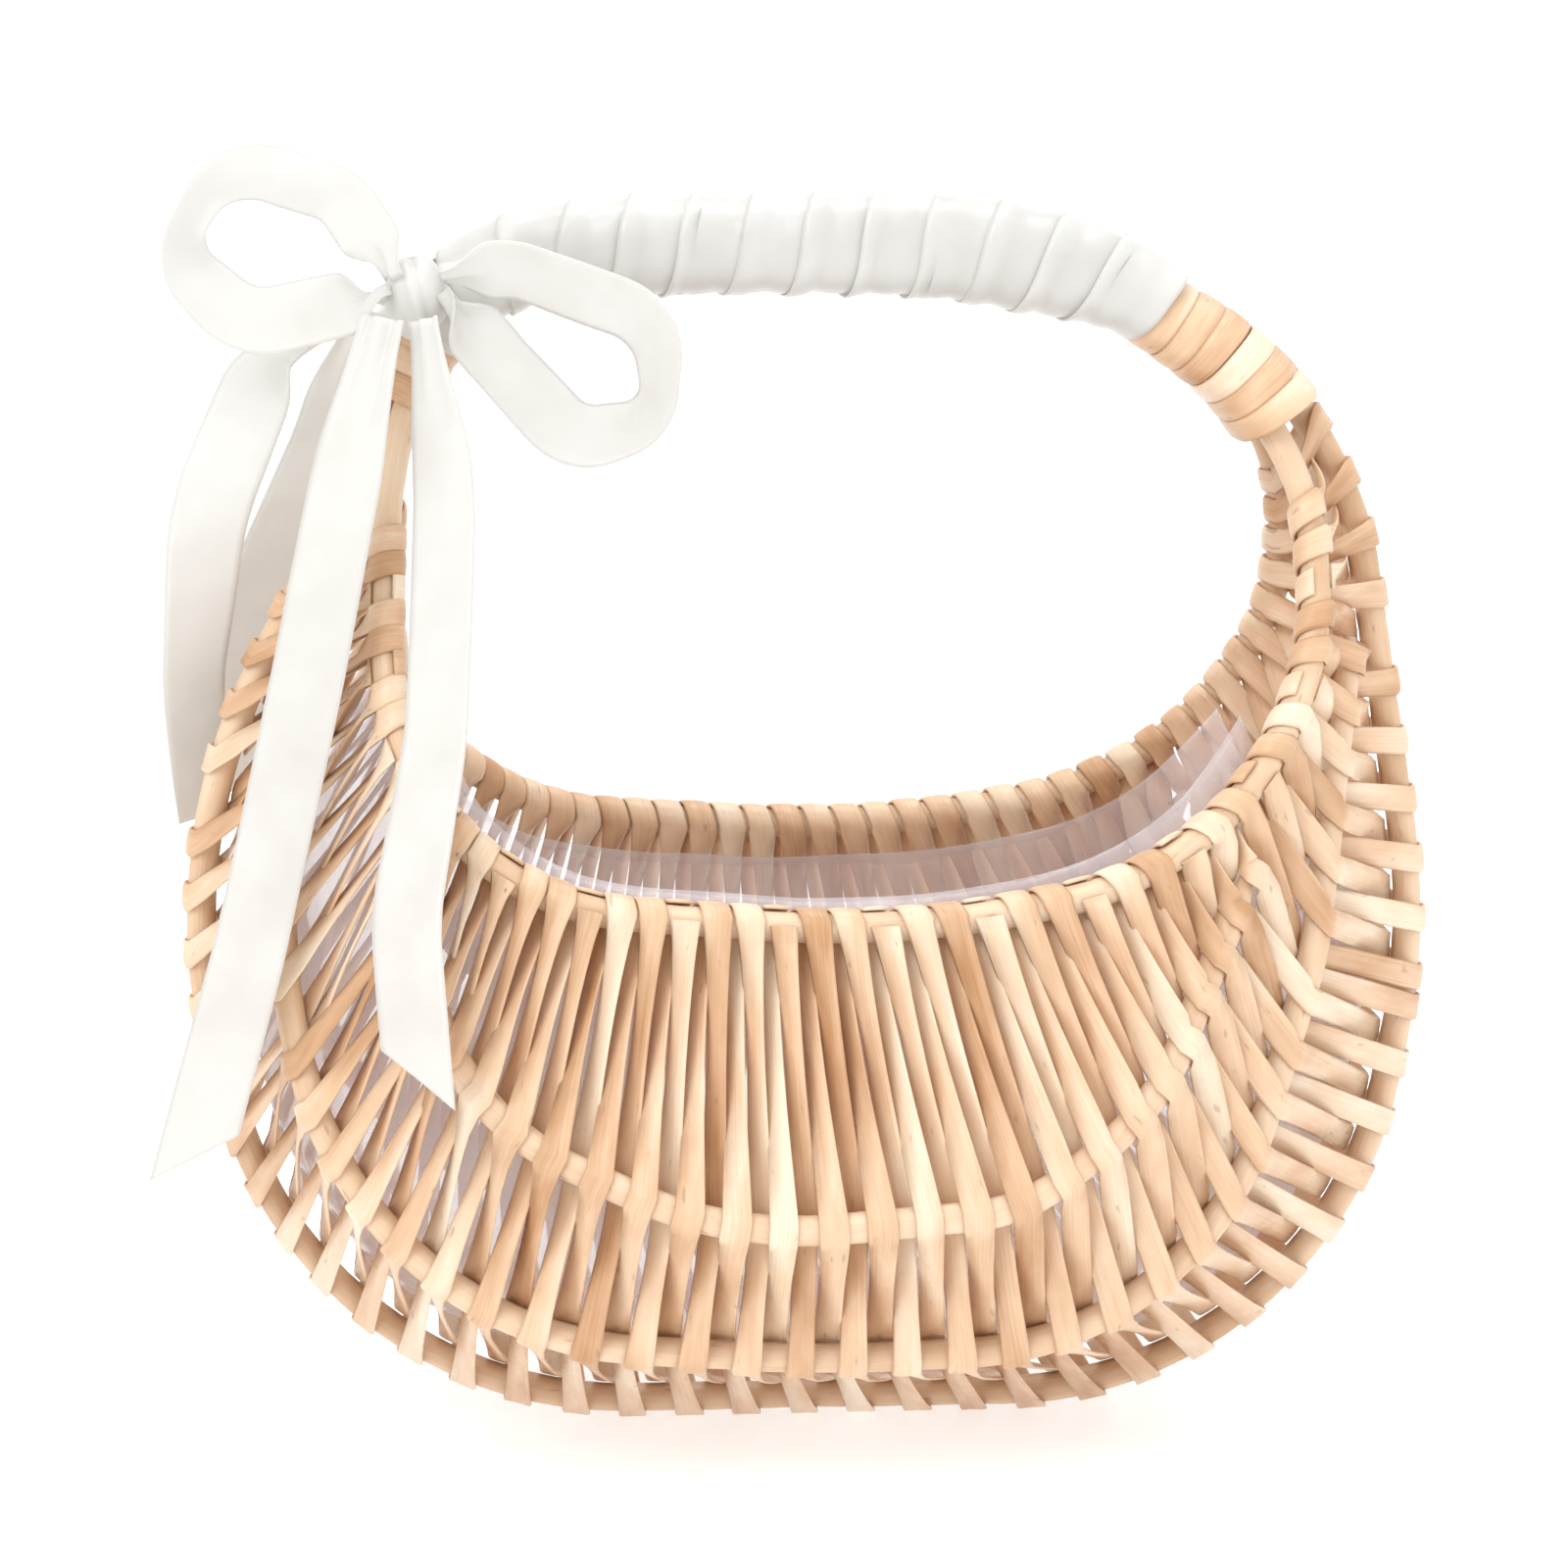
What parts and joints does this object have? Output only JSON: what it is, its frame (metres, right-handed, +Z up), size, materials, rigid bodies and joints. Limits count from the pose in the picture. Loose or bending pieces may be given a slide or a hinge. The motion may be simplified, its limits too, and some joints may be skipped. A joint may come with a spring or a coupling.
{
  "type": "flower girl basket",
  "caption": "Hoop-handled splint-woven willow basket, its grip wrapped in satin ribbon, with a bow and hanging tails and a clear film liner.",
  "frame": {"origin": "middle of the underside of the keel, where the basket stands", "axes": "+Z up, +X towards the right end seen from the front, +Y from the front to the back, across the narrow width"},
  "size_m": [0.2613, 0.1634, 0.2649],
  "materials": {
    "willow_rod": "peeled willow rod, satin",
    "willow_skein": "split willow skein, glossy pith side hidden",
    "satin_ribbon": "ivory satin ribbon",
    "clear_film": "clear wrapping film, crinkled"
  },
  "bodies": {
    "basket": {"keel_hoop": "willow_rod", "rim_hoop_front": "willow_rod", "rim_hoop_back": "willow_rod", "rib_front_upper": "willow_rod", "rib_front_lower": "willow_rod", "rib_back_upper": "willow_rod", "rib_back_lower": "willow_rod", "handle_filler": "willow_rod", "handle_wrap_left": "willow_skein", "handle_wrap_right": "willow_skein", "ribbon_wrap": "satin_ribbon", "bow_knot": "satin_ribbon", "bow_loop_left": "satin_ribbon", "bow_loop_right": "satin_ribbon", "liner": "clear_film", "weaver_left_1": "willow_skein", "weaver_left_2": "willow_skein", "weaver_left_3": "willow_skein", "weaver_left_4": "willow_skein", "weaver_left_5": "willow_skein", "weaver_left_6": "willow_skein", "weaver_left_7": "willow_skein", "weaver_left_8": "willow_skein", "weaver_right_1": "willow_skein", "weaver_right_2": "willow_skein", "weaver_right_3": "willow_skein", "weaver_right_4": "willow_skein", "weaver_right_5": "willow_skein", "weaver_right_6": "willow_skein", "weaver_right_7": "willow_skein", "weaver_right_8": "willow_skein"},
    "tail_front": {"tail_front": "satin_ribbon"},
    "tail_right": {"tail_right": "satin_ribbon"},
    "tail_left": {"tail_left": "satin_ribbon"},
    "tail_back": {"tail_back": "satin_ribbon"}
  },
  "joints": [
    {"name": "tail_front_swing", "type": "hinge", "parent": "basket", "child": "tail_front", "pos_m": [-0.08, -0.0265, 0.236], "axis": [0, 1, 0], "range_deg": [0, 45]},
    {"name": "tail_right_swing", "type": "hinge", "parent": "basket", "child": "tail_right", "pos_m": [-0.073, -0.029, 0.236], "axis": [0, 1, 0], "range_deg": [0, 50]},
    {"name": "tail_left_swing", "type": "hinge", "parent": "basket", "child": "tail_left", "pos_m": [-0.083, -0.013, 0.235], "axis": [0, 1, 0], "range_deg": [0, 20]},
    {"name": "tail_back_swing", "type": "hinge", "parent": "basket", "child": "tail_back", "pos_m": [-0.08, 0.0115, 0.234], "axis": [0, 1, 0], "range_deg": [0, 35]}
  ]
}
